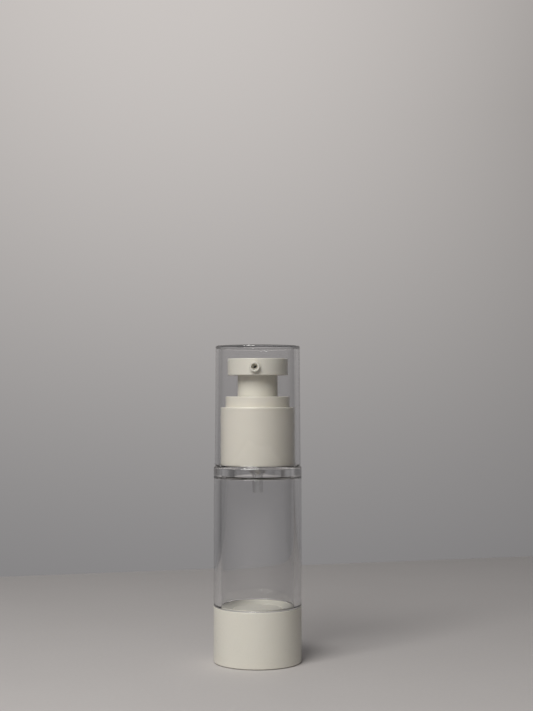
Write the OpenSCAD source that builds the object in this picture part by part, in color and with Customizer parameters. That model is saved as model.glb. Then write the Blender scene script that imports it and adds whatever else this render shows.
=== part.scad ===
// Airless pump bottle: a clear thick-walled bottle closed from below by a rising
// follower piston, a screw-on pump under a white shroud, and a clear overcap.
// Millimetres. +Z is up, the origin is the centre of the foot, the nozzle faces -Y.

/* [Bottle] */
// Outer diameter of the bottle body
bottle_d = 30; // [27:0.2:36]
// Wall of the bottle body
bottle_wall = 2.5; // [2:0.1:2.8]
// Length of the clear body, from the base to the bore's ceiling
body_h = 44.05; // [30:0.05:80]
// Thickness of the shoulder above the bore
shoulder_t = 3.9; // [3:0.1:6]
// Radius of the shoulder's outer edge
shoulder_edge_r = 1.2; // [0.3:0.1:1.5]
// Radius of the body's lower edge, at the seam with the base
seam_edge_r = 0.5; // [0.2:0.05:0.6]
// Radius of the corner between bore and ceiling
ceiling_r = 0.8; // [0.3:0.1:1.5]
// Height of the neck above the shoulder
neck_h = 10.1; // [9.6:0.1:12]
// Wall of the neck behind the thread
neck_wall = 1.4; // [1.2:0.1:1.6]
// Wall of the skirt that plugs into the base
skirt_wall = 1.1; // [0.9:0.05:1.3]

/* [Base] */
// Height of the base
base_h = 18.9; // [16:0.1:30]
// Thickness of the base's floor
base_floor_t = 1.4; // [1:0.1:2]
// Height of the hollow under the floor
foot_recess_h = 0.9; // [0.5:0.1:1.5]
// Width of the foot ring
foot_ring_w = 2.9; // [1.5:0.1:4]
// Radius of the foot's outer edge
foot_edge_r = 0.4; // [0.3:0.1:1.2]
// Diameter of the air hole in the floor
vent_d = 2; // [1:0.1:4]

/* [Follower piston] */
// Height of the follower piston
follower_h = 10.8; // [8:0.2:12]
// Wall of the follower piston
follower_wall = 1.2; // [0.9:0.1:1.6]
// Depth of the dish in its top
dish_depth = 0.9; // [0.5:0.1:1.5]
// Diameter of the flat middle of the dish
dish_flat_d = 16.6; // [12:0.2:18]
// Height of the rim above the base's edge
follower_rise = 0.4; // [0:0.05:1]

/* [Pump] */
// Full travel of the push head
stroke = 6; // [4:0.25:6.5]
// Bore of the pump cylinder
pump_bore_d = 6.2; // [5.8:0.1:6.8]
// Wall of the pump cylinder
pump_wall = 0.8; // [0.7:0.05:1]
// Length of the inlet tube below the bore's ceiling
inlet_drop = 5.6; // [3:0.1:12]
// Outer diameter of the inlet tube
inlet_d = 3.7; // [3.4:0.1:4.4]
// Bore of the inlet tube
inlet_bore_d = 2; // [1.4:0.1:2.1]
// Diameter of the inlet ball
ball_d = 3; // [2.9:0.1:3.4]
// Lift of the inlet ball
ball_lift = 0.8; // [0.4:0.1:1.2]
// Thickness of the pump's flange
flange_t = 1.4; // [1:0.1:2]
// Depth of the ring that centres the pump in the neck
pilot_h = 2.5; // [1.5:0.1:4]
// Thickness of the neck gasket
gasket_t = 0.8; // [0.5:0.1:1.2]
// Height of the sliding piston
piston_h = 2.95; // [2.5:0.05:3.4]
// Travel of the sliding piston on its rod
lost_motion = 0.8; // [0.4:0.1:1]
// Outer diameter of the stem
stem_d = 4.2; // [3.8:0.1:4.6]
// Bore of the stem
stem_bore_d = 2.1; // [1.8:0.1:2.3]
// Depth of the guide round the stem
guide_h = 3.6; // [2.6:0.1:4.4]

/* [Return spring] */
// Thickness of the spring's wire
wire_d = 0.7; // [0.5:0.05:0.75]
// Number of curls
spring_curls = 6.5; // [5:0.5:7]

/* [Closure and shroud] */
// Pitch of the neck thread
thread_pitch = 3; // [2.6:0.1:3.2]
// Height of the thread above the neck
thread_depth = 0.85; // [0.6:0.05:0.9]
// Turns of the thread
thread_turns = 1.5; // [1:0.25:1.5]
// Wall of the screw closure
closure_wall = 1.1; // [0.9:0.1:1.4]
// Thickness of the closure's deck
deck_t = 1.4; // [1:0.1:1.8]
// Wall of the shroud
shroud_wall = 1; // [0.8:0.1:1.2]
// Height of the shroud's wide part
shroud_h = 19.4; // [18.5:0.05:24]
// Height of the shroud's step
step_h = 3.7; // [2:0.05:6]
// Inset of the shroud's step
step_inset = 1.7; // [1:0.1:2.2]
// Thickness of the shroud's top
shroud_top_t = 1.1; // [0.8:0.1:1.6]
// Number of stop ribs inside the shroud
shroud_ribs = 8; // [4:1:12]

/* [Push head] */
// Room between the head's disc and the overcap's wall
disc_margin = 2.95; // [2.6:0.05:4.2]
// Height of the head's disc
disc_h = 5.7; // [5:0.1:8]
// Gap between the shroud and the disc
disc_gap = 7.2; // [7:0.1:10]
// Thickness of the disc's top
disc_top_t = 1.2; // [1:0.1:1.5]
// Wall of the head
head_wall = 1.1; // [0.8:0.1:1.2]
// Wall of the stem socket
socket_wall = 1.05; // [0.8:0.05:1.1]
// Number of ribs round the stem socket
head_ribs = 6; // [3:1:8]
// Outer diameter of the nozzle
nozzle_d = 3.5; // [2.8:0.1:3.6]
// Bore of the nozzle
nozzle_bore_d = 2; // [1.2:0.05:2]
// Reach of the nozzle beyond the disc
nozzle_reach = 1.3; // [0.5:0.1:1.8]
// Depth of the nozzle's axis below the disc's top
nozzle_drop = 2.9; // [2.8:0.1:3.2]

/* [Overcap] */
// Inset of the overcap's side from the bottle's side
cap_inset = 0.3; // [0:0.05:0.5]
// Wall of the overcap
cap_wall = 1.45; // [1.1:0.05:1.6]
// Thickness of the overcap's top
cap_top_t = 1.1; // [0.9:0.1:2]
// Clear height between the disc and the overcap's top
cap_headroom = 3.3; // [1:0.1:8]
// Inward lean of the overcap's wall from rim to top
cap_draft = 0.3; // [0:0.05:0.4]
// Radius of the overcap's top edge
cap_edge_r = 0.4; // [0.2:0.1:0.8]

/* [Fits] */
// Gap all round between pieces pushed together
push_gap = 0.05; // [0.02:0.01:0.08]
// Running gap of the follower piston in the bore
follower_gap = 0.05; // [0.02:0.01:0.1]
// Running gap of the pump's small moving pieces
run_gap = 0.04; // [0.02:0.01:0.06]
// Gap between the two threads
thread_gap = 0.15; // [0.12:0.01:0.2]
// Gap between the head's skirt and the shroud
skirt_gap = 0.3; // [0.15:0.05:0.5]
// Gap between the shroud and the bead inside the overcap
bead_gap = 0.1; // [0.05:0.05:0.3]
// Gap between the shroud and the overcap's wall
cap_gap = 0.6; // [0.5:0.05:0.8]
// Gap between the guide ring and the head's skirt that passes round it
guide_gap = 0.4; // [0.2:0.05:0.6]
// Gap between the stem socket and the spring
spring_gap = 0.3; // [0.15:0.05:0.6]
// Gap between stacked faces that part from each other
seat_gap = 0.1; // [0.05:0.01:0.2]

/* [Hidden] */
$fn = 96;

// Colours
WHITE = [0.90, 0.89, 0.84];
NATURAL = [0.84, 0.86, 0.84, 0.75];
CLEAR = [0.86, 0.89, 0.90, 0.35];
STEEL = [0.72, 0.73, 0.75];
SEAL = [0.93, 0.93, 0.91];

// Fine sizes that several pieces share
edge_r = 0.25;
arc_steps = 5;
// Depth that a rib or thread reaches into its wall, and that a cut runs past a face
sink = 0.3;
cut = 1;

// Bottle
bottle_r = bottle_d / 2;
bore_r = bottle_r - bottle_wall;
seam_z = base_h + push_gap;
ceiling_z = seam_z + body_h;
shoulder_z = ceiling_z + shoulder_t;
neck_top_z = shoulder_z + neck_h;
skirt_r = bore_r + skirt_wall;

// Rings round the neck, from the overcap's side inwards to the neck's bore
cap_r = bottle_r - cap_inset;
cap_in_r = cap_r - cap_wall;
shroud_r = cap_in_r - cap_gap;
shroud_in_r = shroud_r - shroud_wall;
closure_r = shroud_in_r - push_gap;
closure_in_r = closure_r - closure_wall;
thread_crest_r = closure_in_r - thread_gap;
neck_r = thread_crest_r - thread_depth;
neck_bore_r = neck_r - neck_wall;

// Base
floor_z = foot_recess_h + base_floor_t;
skirt_bottom_z = floor_z + seat_gap;
snap_drop = 4;
snap_z = base_h - snap_drop;
snap_h = 1.2;
snap_depth = 0.25;
lead_in_w = 0.4;
lead_in_h = 0.8;
stop_ring_w = 1;
stop_ring_gap = 0.3;

// Follower piston
follower_top_z = base_h + follower_rise;
follower_bottom_z = follower_top_z - follower_h;
follower_lip_r = bore_r - follower_gap;
follower_lip_h = 2;
lip_reach = 0.75;
lip_edge = 0.2;
lip_slope_h = 0.3;
lip_land_w = 0.5;
follower_body_r = follower_lip_r - lip_reach;
dish_z = follower_top_z - dish_depth;
dish_groove = 0.25;

// Flange, gasket and closure
flange_z = neck_top_z + gasket_t;
deck_z = flange_z + flange_t;
deck_top_z = deck_z + deck_t;
flange_r = neck_r - seat_gap;
closure_lift = 1.1;
closure_z = shoulder_z + closure_lift;
deck_hole_gap = 0.3;
thread_foot_w = 1.3;
thread_tip_w = 0.6;
thread_steps = 30;
thread_fade = 5;
thread_dip = 0.1;
thread_margin = 0.3;
neck_thread_z = closure_z + thread_margin + (thread_foot_w + thread_pitch) / 2;
closure_thread_z = neck_thread_z - thread_pitch / 2;

// Pump, hung from its flange: guide, stem, sliding piston and rod, from the top down
pump_bore_r = pump_bore_d / 2;
cylinder_r = pump_bore_r + pump_wall;
guide_rise = 0.5;
guide_z = deck_z + guide_rise;
guide_top_z = guide_z + guide_h;
guide_rim_t = 1.2;
guide_hook_h = 1.2;
guide_hook_w = 0.4;
collar_wall = 1;
collar_r = cylinder_r + collar_wall;
collar_top_z = guide_top_z - guide_rim_t;
guide_rim_r = collar_r + push_gap + guide_hook_w;
pilot_wall = 1;
stem_foot_t = 0.5;
stem_foot_gap = 0.5;
stem_r = stem_d / 2;
stem_z = guide_z - seat_gap - stem_foot_t;
piston_z = stem_z - run_gap - lost_motion - piston_h;
rod_head_t = 0.7;
rod_head_gap = 0.8;
rod_step = 0.25;
rod_plug_h = 4;
flute_w = 0.5;
flute_rise = 0.3;
rod_head_r = pump_bore_r - rod_head_gap;
rod_r = stem_bore_d / 2 + rod_step;
rod_z = piston_z - run_gap - rod_head_t;
valve_cone_h = rod_head_r - rod_r;
pump_floor_gap = 0.4;
pump_floor_z = rod_z - stroke - pump_floor_gap;
piston_waist = 0.55;
piston_lip_h = 0.9;

// Inlet valve under the cylinder, and the inlet tube
inlet_z = ceiling_z - inlet_drop;
inlet_r = inlet_d / 2;
inlet_bore_r = inlet_bore_d / 2;
ball_r = ball_d / 2;
cage_lip_t = 0.5;
cage_grip = 0.1;
cage_slot_w = 0.8;
chamber_gap = 0.4;
cone_drop = 0.7;
chamber_r = ball_r + chamber_gap;
chamber_top_z = pump_floor_z - cage_lip_t;
ball_z = chamber_top_z - seat_gap - ball_lift - ball_r;
// The ball lies on a 45 degree cone that starts at the inlet bore's edge
seat_z = ball_z + inlet_bore_r - (ball_r + run_gap) * sqrt(2);
inlet_cone_z = seat_z - cone_drop;

// Shroud
shroud_lift = 0.2;
shroud_z = shoulder_z + shroud_lift;
ledge_z = shroud_z + shroud_h;
step_r = shroud_r - step_inset;
step_top_z = ledge_z + step_h;
step_in_r = step_r - shroud_wall;
shroud_rib_w = 0.8;

// Push head
head_skirt_in_r = guide_rim_r + guide_gap;
head_skirt_r = head_skirt_in_r + head_wall;
disc_r = cap_in_r - disc_margin;
disc_z = step_top_z + disc_gap;
disc_top_z = disc_z + disc_h;
plate_z = disc_top_z - disc_top_t;
head_skirt_rest = 0.8;
head_skirt_z = deck_top_z + stroke + head_skirt_rest;
nozzle_z = disc_top_z - nozzle_drop;
nozzle_tip = disc_r + nozzle_reach;
socket_r = stem_r + run_gap;
socket_out_r = socket_r + socket_wall;
socket_rest = 1.5;
socket_z = guide_top_z + stroke + socket_rest;
socket_land = 0.2;
socket_top_z = nozzle_z - nozzle_bore_d / 2 - socket_land;
stem_top_z = socket_top_z - seat_gap;
head_rib_w = 0.9;
head_rib_drop = 1.4;
outer_rib_rise = 1;
head_rib_z = disc_z - head_rib_drop;

// Return spring, from the guide's rim to the head's ribs
spring_z = guide_top_z + wire_d / 2 + push_gap;
spring_top_z = head_rib_z - wire_d / 2 - push_gap;
curl_rings = 8;
spring_r = (socket_out_r + spring_gap) / cos(180 / curl_rings) + wire_d / 2;
wire_sides = 6;
coil_gap = 0.5;
end_pitch = wire_d + coil_gap;
spring_rings = curl_rings * spring_curls;

// Overcap
cap_z = shoulder_z + seat_gap;
cap_plate_z = disc_top_z + cap_headroom;
cap_top_z = cap_plate_z + cap_top_t;
cap_bead_rise = 0.9;
cap_bead_z = cap_z + cap_bead_rise;
cap_bead_h = 1;

// Points of an arc in a lathe outline, as [radius, height]
function arc(r, z, radius, from, to) =
    [for (i = [0:arc_steps]) let (a = from + (to - from) * i / arc_steps)
        [r + radius * cos(a), z + radius * sin(a)]];

// A ring of four points at each step of a thread, its height faded out at both ends
function thread_points(foot_r, tip_r, z) =
    let (steps = thread_steps * thread_turns, side = sign(tip_r - foot_r))
    [for (i = [0:steps])
        let (a = 360 * i / thread_steps, rise = thread_pitch * i / thread_steps,
             full = min(1, i / thread_fade, (steps - i) / thread_fade),
             crest = foot_r + side * (abs(tip_r - foot_r) * full - thread_dip * (1 - full)),
             deep = foot_r - side * sink)
        each [[deep * cos(a), deep * sin(a), z + rise - thread_foot_w / 2],
              [crest * cos(a), crest * sin(a), z + rise - thread_tip_w / 2],
              [crest * cos(a), crest * sin(a), z + rise + thread_tip_w / 2],
              [deep * cos(a), deep * sin(a), z + rise + thread_foot_w / 2]]];

// Triangles round a tube of rings, closed at both ends
function tube_faces(rings, sides) = concat(
    [for (i = [0:rings - 2], k = [0:sides - 1]) let (n = (k + 1) % sides)
        each [[i * sides + k, (i + 1) * sides + n, i * sides + n],
              [i * sides + k, (i + 1) * sides + k, (i + 1) * sides + n]]],
    [for (k = [1:sides - 2]) [0, k, k + 1]],
    [for (k = [1:sides - 2]) let (last = (rings - 1) * sides) [last, last + k + 1, last + k]]);

function flipped(faces) = [for (f = faces) [f[2], f[1], f[0]]];

module thread(foot_r, tip_r, z) {
    rings = thread_steps * thread_turns + 1;
    faces = tube_faces(rings, 4);
    polyhedron(thread_points(foot_r, tip_r, z), tip_r > foot_r ? flipped(faces) : faces);
}

// The spring's centre line: both end curls lie close, the rest opens evenly
function spring_height(turn) =
    let (open = (spring_top_z - spring_z - 2 * end_pitch) / (spring_curls - 2))
    spring_z + end_pitch * min(turn, 1) + open * min(max(turn - 1, 0), spring_curls - 2)
    + end_pitch * max(turn - spring_curls + 1, 0);
function spring_centre(i) =
    let (turn = i / curl_rings)
    [spring_r * cos(360 * turn), spring_r * sin(360 * turn), spring_height(turn)];
spring_line = [for (i = [0:spring_rings]) spring_centre(i)];
spring_least_gap = min([for (i = [0:spring_rings - curl_rings + 1], j = [i + curl_rings - 1:spring_rings])
    norm(spring_line[i] - spring_line[j])]) - wire_d;
echo(spring_least_gap = spring_least_gap);

// White cup under the bottle, with a foot ring, an air hole and a stop ring for the follower
module base_cup() {
    in_r = skirt_r + push_gap;
    foot_in_r = bottle_r - foot_edge_r - foot_ring_w;
    stop_r = bore_r - stop_ring_gap;
    stop_z = follower_bottom_z - seat_gap;
    color(WHITE) rotate_extrude() polygon(concat(
        [[vent_d / 2, foot_recess_h], [foot_in_r - foot_recess_h, foot_recess_h], [foot_in_r, 0]],
        arc(bottle_r - foot_edge_r, foot_edge_r, foot_edge_r, -90, 0),
        arc(bottle_r - edge_r, base_h - edge_r, edge_r, 0, 90),
        [[in_r, base_h],
         [in_r, snap_z + snap_h / 2],
         [in_r - snap_depth, snap_z],
         [in_r, snap_z - snap_h / 2],
         [in_r, floor_z],
         [stop_r, floor_z],
         [stop_r, stop_z],
         [stop_r - stop_ring_w, stop_z],
         [stop_r - stop_ring_w, floor_z],
         [vent_d / 2, floor_z]]));
}

// Clear bottle: body, shoulder and neck in one moulding, thinner where it enters the base
module bottle() {
    color(CLEAR) {
        rotate_extrude() polygon(concat(
            [[bore_r + lead_in_w, skirt_bottom_z],
             [skirt_r, skirt_bottom_z],
             [skirt_r, snap_z - snap_h / 2],
             [skirt_r - snap_depth, snap_z],
             [skirt_r, snap_z + snap_h / 2],
             [skirt_r, seam_z]],
            arc(bottle_r - seam_edge_r, seam_z + seam_edge_r, seam_edge_r, -90, 0),
            arc(bottle_r - shoulder_edge_r, shoulder_z - shoulder_edge_r, shoulder_edge_r, 0, 90),
            [[neck_r, shoulder_z]],
            arc(neck_r - edge_r, neck_top_z - edge_r, edge_r, 0, 90),
            [[neck_bore_r, neck_top_z], [neck_bore_r, ceiling_z]],
            arc(bore_r - ceiling_r, ceiling_z - ceiling_r, ceiling_r, 90, 0),
            [[bore_r, skirt_bottom_z + lead_in_h]]));
        thread(neck_r, thread_crest_r, neck_thread_z);
    }
}

// White follower: a dished plate on a sleeve with a wiping lip at each end
module follower_piston() {
    in_r = follower_body_r - follower_wall;
    flat_r = dish_flat_d / 2;
    edge_in_r = follower_lip_r - lip_edge;
    land_r = edge_in_r - lip_land_w;
    color(WHITE) rotate_extrude() polygon([
        [0, dish_z - follower_wall],
        [in_r, dish_z - follower_wall],
        [in_r, follower_bottom_z + follower_lip_h],
        [land_r - lip_edge, follower_bottom_z],
        [edge_in_r, follower_bottom_z],
        [follower_lip_r, follower_bottom_z + lip_slope_h],
        [follower_body_r, follower_bottom_z + follower_lip_h],
        [follower_body_r, follower_top_z - follower_lip_h],
        [follower_lip_r, follower_top_z - lip_slope_h],
        [edge_in_r, follower_top_z],
        [land_r, follower_top_z],
        [land_r - 2 * lip_edge, follower_top_z - lip_edge],
        [flat_r + dish_groove, dish_z],
        [flat_r, dish_z - dish_groove],
        [flat_r - dish_groove, dish_z],
        [0, dish_z]]);
}

// Pump cylinder with its inlet tube, ball cage, neck flange and guide collar
module pump_housing() {
    pilot_r = neck_bore_r - seat_gap;
    slot_h = cage_lip_t + 2 * seat_gap;
    color(NATURAL) difference() {
        rotate_extrude() polygon([
            [inlet_bore_r, inlet_z],
            [inlet_r, inlet_z],
            [inlet_r, inlet_cone_z],
            [cylinder_r, inlet_cone_z + cylinder_r - inlet_r],
            [cylinder_r, flange_z - sink],
            [pilot_r - pilot_wall, flange_z - sink],
            [pilot_r - pilot_wall, flange_z - pilot_h],
            [pilot_r, flange_z - pilot_h],
            [pilot_r, flange_z],
            [flange_r, flange_z],
            [flange_r, deck_z],
            [collar_r, deck_z],
            [collar_r, collar_top_z],
            [cylinder_r, collar_top_z],
            [cylinder_r, guide_z],
            [pump_bore_r, guide_z],
            [pump_bore_r, pump_floor_z],
            [ball_r - cage_grip, pump_floor_z],
            [ball_r - cage_grip, chamber_top_z],
            [chamber_r, chamber_top_z],
            [chamber_r, seat_z + chamber_r - inlet_bore_r],
            [inlet_bore_r, seat_z]]);
        // Three slots past the lifted ball
        for (a = [0:120:240]) rotate(a)
            translate([0, -cage_slot_w / 2, chamber_top_z - seat_gap])
                cube([chamber_r, cage_slot_w, slot_h]);
    }
}

// Flat seal between the pump's flange and the neck
module neck_gasket() {
    color(SEAL) translate([0, 0, neck_top_z]) difference() {
        cylinder(r = flange_r, h = gasket_t);
        translate([0, 0, -cut]) cylinder(r = neck_bore_r, h = gasket_t + 2 * cut);
    }
}

// Guide ring: a plug in the cylinder's collar and a rim that carries the spring
module housing_cap() {
    plug_r = cylinder_r - push_gap;
    color(WHITE) rotate_extrude() polygon([
        [stem_r + run_gap, guide_z],
        [plug_r, guide_z],
        [plug_r, collar_top_z],
        [collar_r + push_gap, collar_top_z],
        [collar_r + push_gap, collar_top_z - guide_hook_h],
        [guide_rim_r, collar_top_z - guide_hook_h],
        [guide_rim_r, guide_top_z - edge_r],
        [guide_rim_r - edge_r, guide_top_z],
        [stem_r + run_gap, guide_top_z]]);
}

// Ball of the inlet valve
module inlet_ball() {
    color(STEEL) translate([0, 0, ball_z]) sphere(r = ball_r);
}

// Valve rod: a head that the sliding piston seals on, and a fluted plug in the stem
module piston_rod() {
    plug_r = stem_bore_d / 2 - push_gap;
    plug_top_z = stem_z + rod_plug_h;
    flute_z = piston_z + valve_cone_h + flute_rise;
    color(WHITE) difference() {
        rotate_extrude() polygon([
            [0, rod_z],
            [rod_head_r, rod_z],
            [rod_head_r, rod_z + rod_head_t],
            [rod_r, rod_z + rod_head_t + valve_cone_h],
            [rod_r, stem_z - push_gap],
            [plug_r, stem_z - push_gap],
            [plug_r, plug_top_z],
            [0, plug_top_z]]);
        for (a = [0:90:270]) rotate(a)
            translate([plug_r - flute_w, -flute_w / 2, flute_z])
                cube([rod_r - plug_r + flute_w + cut, flute_w, plug_top_z - flute_z + cut]);
    }
}

// Sliding piston: two lips on the cylinder and a cone that closes on the rod's head
module pump_piston() {
    lip_r = pump_bore_r - run_gap;
    waist_r = lip_r - piston_waist;
    in_r = rod_r + run_gap;
    top_z = piston_z + piston_h;
    color(SEAL) rotate_extrude() polygon([
        [in_r, piston_z + valve_cone_h],
        [rod_head_r, piston_z],
        [lip_r, piston_z],
        [waist_r, piston_z + piston_lip_h],
        [waist_r, top_z - piston_lip_h],
        [lip_r, top_z],
        [in_r, top_z]]);
}

// Hollow stem with a foot that stops it under the guide ring
module stem() {
    foot_r = pump_bore_r - stem_foot_gap;
    color(WHITE) difference() {
        union() {
            translate([0, 0, stem_z]) cylinder(r = stem_r, h = stem_top_z - stem_z);
            translate([0, 0, stem_z]) cylinder(r = foot_r, h = stem_foot_t);
        }
        translate([0, 0, stem_z - cut]) cylinder(d = stem_bore_d, h = stem_top_z - stem_z + 2 * cut);
    }
}

// Steel spring: one unbroken wire from the guide ring's rim to the head's ribs
module return_spring() {
    points = [for (i = [0:spring_rings]) let (turn = 360 * i / curl_rings)
        each [for (k = [0:wire_sides - 1]) let (a = 360 * k / wire_sides, r = wire_d / 2 * cos(a))
            spring_line[i] + [r * cos(turn), r * sin(turn), wire_d / 2 * sin(a)]]];
    color(STEEL) polyhedron(points, flipped(tube_faces(spring_rings + 1, wire_sides)));
}

// Screw closure: a deck that clamps the pump's flange and a threaded skirt
module threaded_closure() {
    deck_hole_r = guide_rim_r + deck_hole_gap;
    color(WHITE) {
        rotate_extrude() polygon(concat(
            [[closure_in_r, closure_z], [closure_r, closure_z]],
            arc(closure_r - edge_r, deck_top_z - edge_r, edge_r, 0, 90),
            [[deck_hole_r, deck_top_z], [deck_hole_r, deck_z], [closure_in_r, deck_z]]));
        thread(closure_in_r, closure_in_r - thread_depth, closure_thread_z);
    }
}

// White shroud over the closure, with a step and the hole for the head's skirt
module outer_shroud() {
    hole_r = head_skirt_r + skirt_gap;
    color(WHITE) {
        rotate_extrude() polygon(concat(
            [[shroud_in_r, shroud_z], [shroud_r, shroud_z]],
            arc(shroud_r - edge_r, ledge_z - edge_r, edge_r, 0, 90),
            [[step_r, ledge_z]],
            arc(step_r - edge_r, step_top_z - edge_r, edge_r, 0, 90),
            [[hole_r, step_top_z],
             [hole_r, step_top_z - shroud_top_t],
             [step_in_r, step_top_z - shroud_top_t],
             [step_in_r, ledge_z - shroud_top_t],
             [shroud_in_r, ledge_z - shroud_top_t]]));
        // Stop ribs that stand on the closure's deck
        for (i = [0:shroud_ribs - 1]) rotate(360 * i / shroud_ribs)
            translate([step_in_r, -shroud_rib_w / 2, deck_top_z + push_gap])
                cube([shroud_in_r - step_in_r + sink, shroud_rib_w,
                      ledge_z - shroud_top_t - deck_top_z - push_gap + sink]);
    }
}

// Push head in one moulding: disc, skirt, stem socket, ribs and nozzle
module actuator_head() {
    rim_in_r = disc_r - head_wall;
    tip_edge = 0.2;
    color(WHITE) difference() {
        union() {
            rotate_extrude() polygon(concat(
                [[0, plate_z], [rim_in_r, plate_z], [rim_in_r, disc_z]],
                arc(disc_r - edge_r, disc_z + edge_r, edge_r, -90, 0),
                arc(disc_r - edge_r, disc_top_z - edge_r, edge_r, 0, 90),
                [[0, disc_top_z]]));
            translate([0, 0, head_skirt_z]) difference() {
                cylinder(r = head_skirt_r, h = plate_z - head_skirt_z + sink);
                translate([0, 0, -cut]) cylinder(r = head_skirt_in_r, h = plate_z - head_skirt_z + 2 * cut);
            }
            translate([0, 0, socket_z]) cylinder(r = socket_out_r, h = plate_z - socket_z + sink);
            for (i = [0:head_ribs - 1]) rotate(90 + 360 * i / head_ribs) {
                translate([0, -head_rib_w / 2, head_rib_z])
                    cube([head_skirt_in_r + sink, head_rib_w, plate_z - head_rib_z + sink]);
                translate([head_skirt_r - sink, -head_rib_w / 2, disc_z + outer_rib_rise])
                    cube([rim_in_r - head_skirt_r + 2 * sink, head_rib_w,
                          plate_z - disc_z - outer_rib_rise + sink]);
            }
            translate([0, 0, nozzle_z]) rotate([90, 0, 0]) rotate_extrude() polygon([
                [0, 0],
                [nozzle_d / 2, 0],
                [nozzle_d / 2, nozzle_tip - tip_edge],
                [nozzle_d / 2 - tip_edge, nozzle_tip],
                [0, nozzle_tip]]);
        }
        rotate_extrude() polygon([
            [0, socket_z - cut],
            [socket_r, socket_z - cut],
            [socket_r, socket_top_z],
            [stem_bore_d / 2, socket_top_z],
            [stem_bore_d / 2, nozzle_z],
            [0, nozzle_z]]);
        translate([0, 0, nozzle_z]) rotate([90, 0, 0]) cylinder(d = nozzle_bore_d, h = nozzle_tip + cut);
    }
}

// Clear overcap: a slightly tapered cup with a bead that grips the shroud
module overcap() {
    top_r = cap_r - cap_draft;
    top_in_r = cap_in_r - cap_draft;
    bead_r = shroud_r + bead_gap;
    color(CLEAR) rotate_extrude() polygon(concat(
        [[0, cap_plate_z]],
        arc(top_in_r - cap_edge_r, cap_plate_z - cap_edge_r, cap_edge_r, 90, 0),
        [[cap_in_r, cap_bead_z + cap_bead_h / 2],
         [bead_r, cap_bead_z],
         [cap_in_r, cap_bead_z - cap_bead_h / 2],
         [cap_in_r, cap_z + edge_r],
         [cap_in_r + edge_r, cap_z]],
        arc(cap_r - edge_r, cap_z + edge_r, edge_r, -90, 0),
        arc(top_r - cap_edge_r, cap_top_z - cap_edge_r, cap_edge_r, 0, 90),
        [[0, cap_top_z]]));
}

base_cup();
bottle();
follower_piston();
pump_housing();
neck_gasket();
housing_cap();
inlet_ball();
piston_rod();
pump_piston();
stem();
return_spring();
threaded_closure();
outer_shroud();
actuator_head();
overcap();
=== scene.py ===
"""Looks of an airless pump bottle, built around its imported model.

The clear bottle stands on a white base, with a white follower piston low in its
bore. A white push head and shroud sit on its neck under a clear overcap. Sizes
in this file are millimetres unless a name says otherwise, +Z is up, the origin
is the centre of the foot and the nozzle faces -Y.
"""

from __future__ import annotations

import logging
import math
from dataclasses import dataclass, field
from enum import Enum

import bmesh
import bpy
from mathutils import Matrix, Vector

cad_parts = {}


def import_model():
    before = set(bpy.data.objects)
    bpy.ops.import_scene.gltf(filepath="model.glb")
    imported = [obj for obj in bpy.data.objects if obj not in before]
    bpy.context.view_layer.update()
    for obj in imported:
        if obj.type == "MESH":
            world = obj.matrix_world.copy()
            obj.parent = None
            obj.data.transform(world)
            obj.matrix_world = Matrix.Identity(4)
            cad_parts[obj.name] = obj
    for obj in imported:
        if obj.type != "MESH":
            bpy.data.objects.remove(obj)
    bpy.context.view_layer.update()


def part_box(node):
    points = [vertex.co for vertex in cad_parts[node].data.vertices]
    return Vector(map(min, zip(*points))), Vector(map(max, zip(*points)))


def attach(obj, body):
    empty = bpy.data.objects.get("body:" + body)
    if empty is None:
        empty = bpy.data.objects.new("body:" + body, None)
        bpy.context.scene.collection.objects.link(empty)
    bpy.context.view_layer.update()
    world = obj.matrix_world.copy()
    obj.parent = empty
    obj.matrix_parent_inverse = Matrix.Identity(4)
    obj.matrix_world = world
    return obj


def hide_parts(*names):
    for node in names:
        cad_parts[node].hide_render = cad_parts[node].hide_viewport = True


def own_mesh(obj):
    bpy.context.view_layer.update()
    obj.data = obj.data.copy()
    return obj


MM = 0.001
GLOW_SCALE = 0.8 * MM
LOG = logging.getLogger("pump_bottle")

Point = tuple[float, float]
Colour = tuple[float, float, float]
Links = dict[str | int, object]
Material = bpy.types.Material
Piece = bpy.types.Object
Socket = bpy.types.NodeSocket

WHOLE: Point = (0.0, 1.0)


class Body(str, Enum):
    """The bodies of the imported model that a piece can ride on."""

    BOTTLE = "bottle"
    FOLLOWER = "follower"
    PUMP_CORE = "pump_core"
    INLET_BALL = "inlet_ball"
    STEM = "stem"
    PUMP_PISTON = "pump_piston"
    HEAD = "head"
    CLOSURE = "closure"
    OVERCAP = "overcap"


class Cut(str, Enum):
    """How one solid is combined with another."""

    ADD = "UNION"
    TAKE_AWAY = "DIFFERENCE"


class Steps(int, Enum):
    """Steps round the axis of a lathed solid, by how wide it is."""

    WIDE = 192
    SLIM = 128
    THIN = 96
    NARROW = 64


class Way(str, Enum):
    """How a ramp goes from its first value to its last."""

    STRAIGHT = "LINEAR"
    SMOOTH = "SMOOTHSTEP"


@dataclass(frozen=True)
class NodeBox:
    """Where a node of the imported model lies, in millimetres.

    Args:
        radius: Distance from the axis that the node keeps to along X and Y.
        low: Lowest height.
        high: Highest height.
    """

    radius: float
    low: float
    high: float

    @classmethod
    def of(cls, node: str) -> NodeBox:
        """Measures a node.

        Args:
            node: Name of the node.

        Returns:
            The node's box.
        """
        low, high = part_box(node)
        return cls(min(high.x, high.y) / MM, low.z / MM, high.z / MM)


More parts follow.
